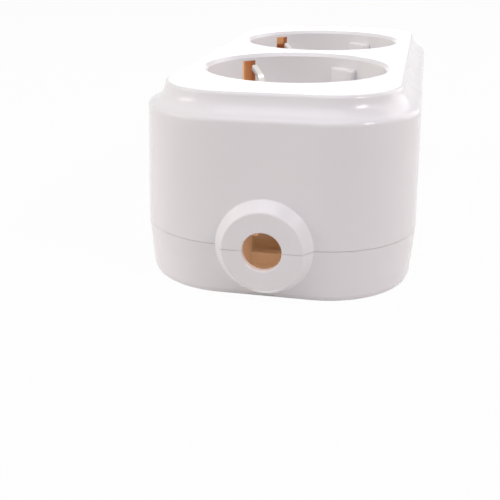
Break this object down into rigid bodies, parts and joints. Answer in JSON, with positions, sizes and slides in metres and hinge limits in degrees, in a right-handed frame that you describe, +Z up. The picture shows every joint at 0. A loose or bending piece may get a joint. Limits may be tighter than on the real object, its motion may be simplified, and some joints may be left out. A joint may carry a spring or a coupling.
{
  "type": "extension socket block",
  "caption": "White moulded extension socket block with round earthed plug wells in line, a coved top edge, a parting line and a conical cord collar at one end.",
  "frame": {"origin": "centre of the flat face that the block rests on", "axes": "+X across the width, +Y along the length away from the cord entry, +Z up out of the wells"},
  "size_m": [0.0568, 0.1218, 0.0395],
  "materials": {
    "white_plastic": "semi-gloss moulded white plastic",
    "spring_metal": "bright nickel-plated spring strip",
    "brass": "stamped brass strip",
    "screw_steel": "zinc-plated steel"
  },
  "bodies": {
    "root": {"top_cover": "white_plastic", "base_cover": "white_plastic", "cord_clamp": "white_plastic", "earth_bracket_front": "spring_metal", "earth_bracket_rear": "spring_metal", "earth_bar": "brass", "line_busbar": "brass", "neutral_busbar": "brass", "line_contact_front": "brass", "line_contact_rear": "brass", "neutral_contact_front": "brass", "neutral_contact_rear": "brass", "contact_rivets": "brass", "earth_rivets": "brass", "line_terminal": "brass", "neutral_terminal": "brass", "earth_terminal": "brass", "terminal_screws": "screw_steel", "clamp_screws": "screw_steel", "housing_screws": "screw_steel"}
  },
  "joints": []
}
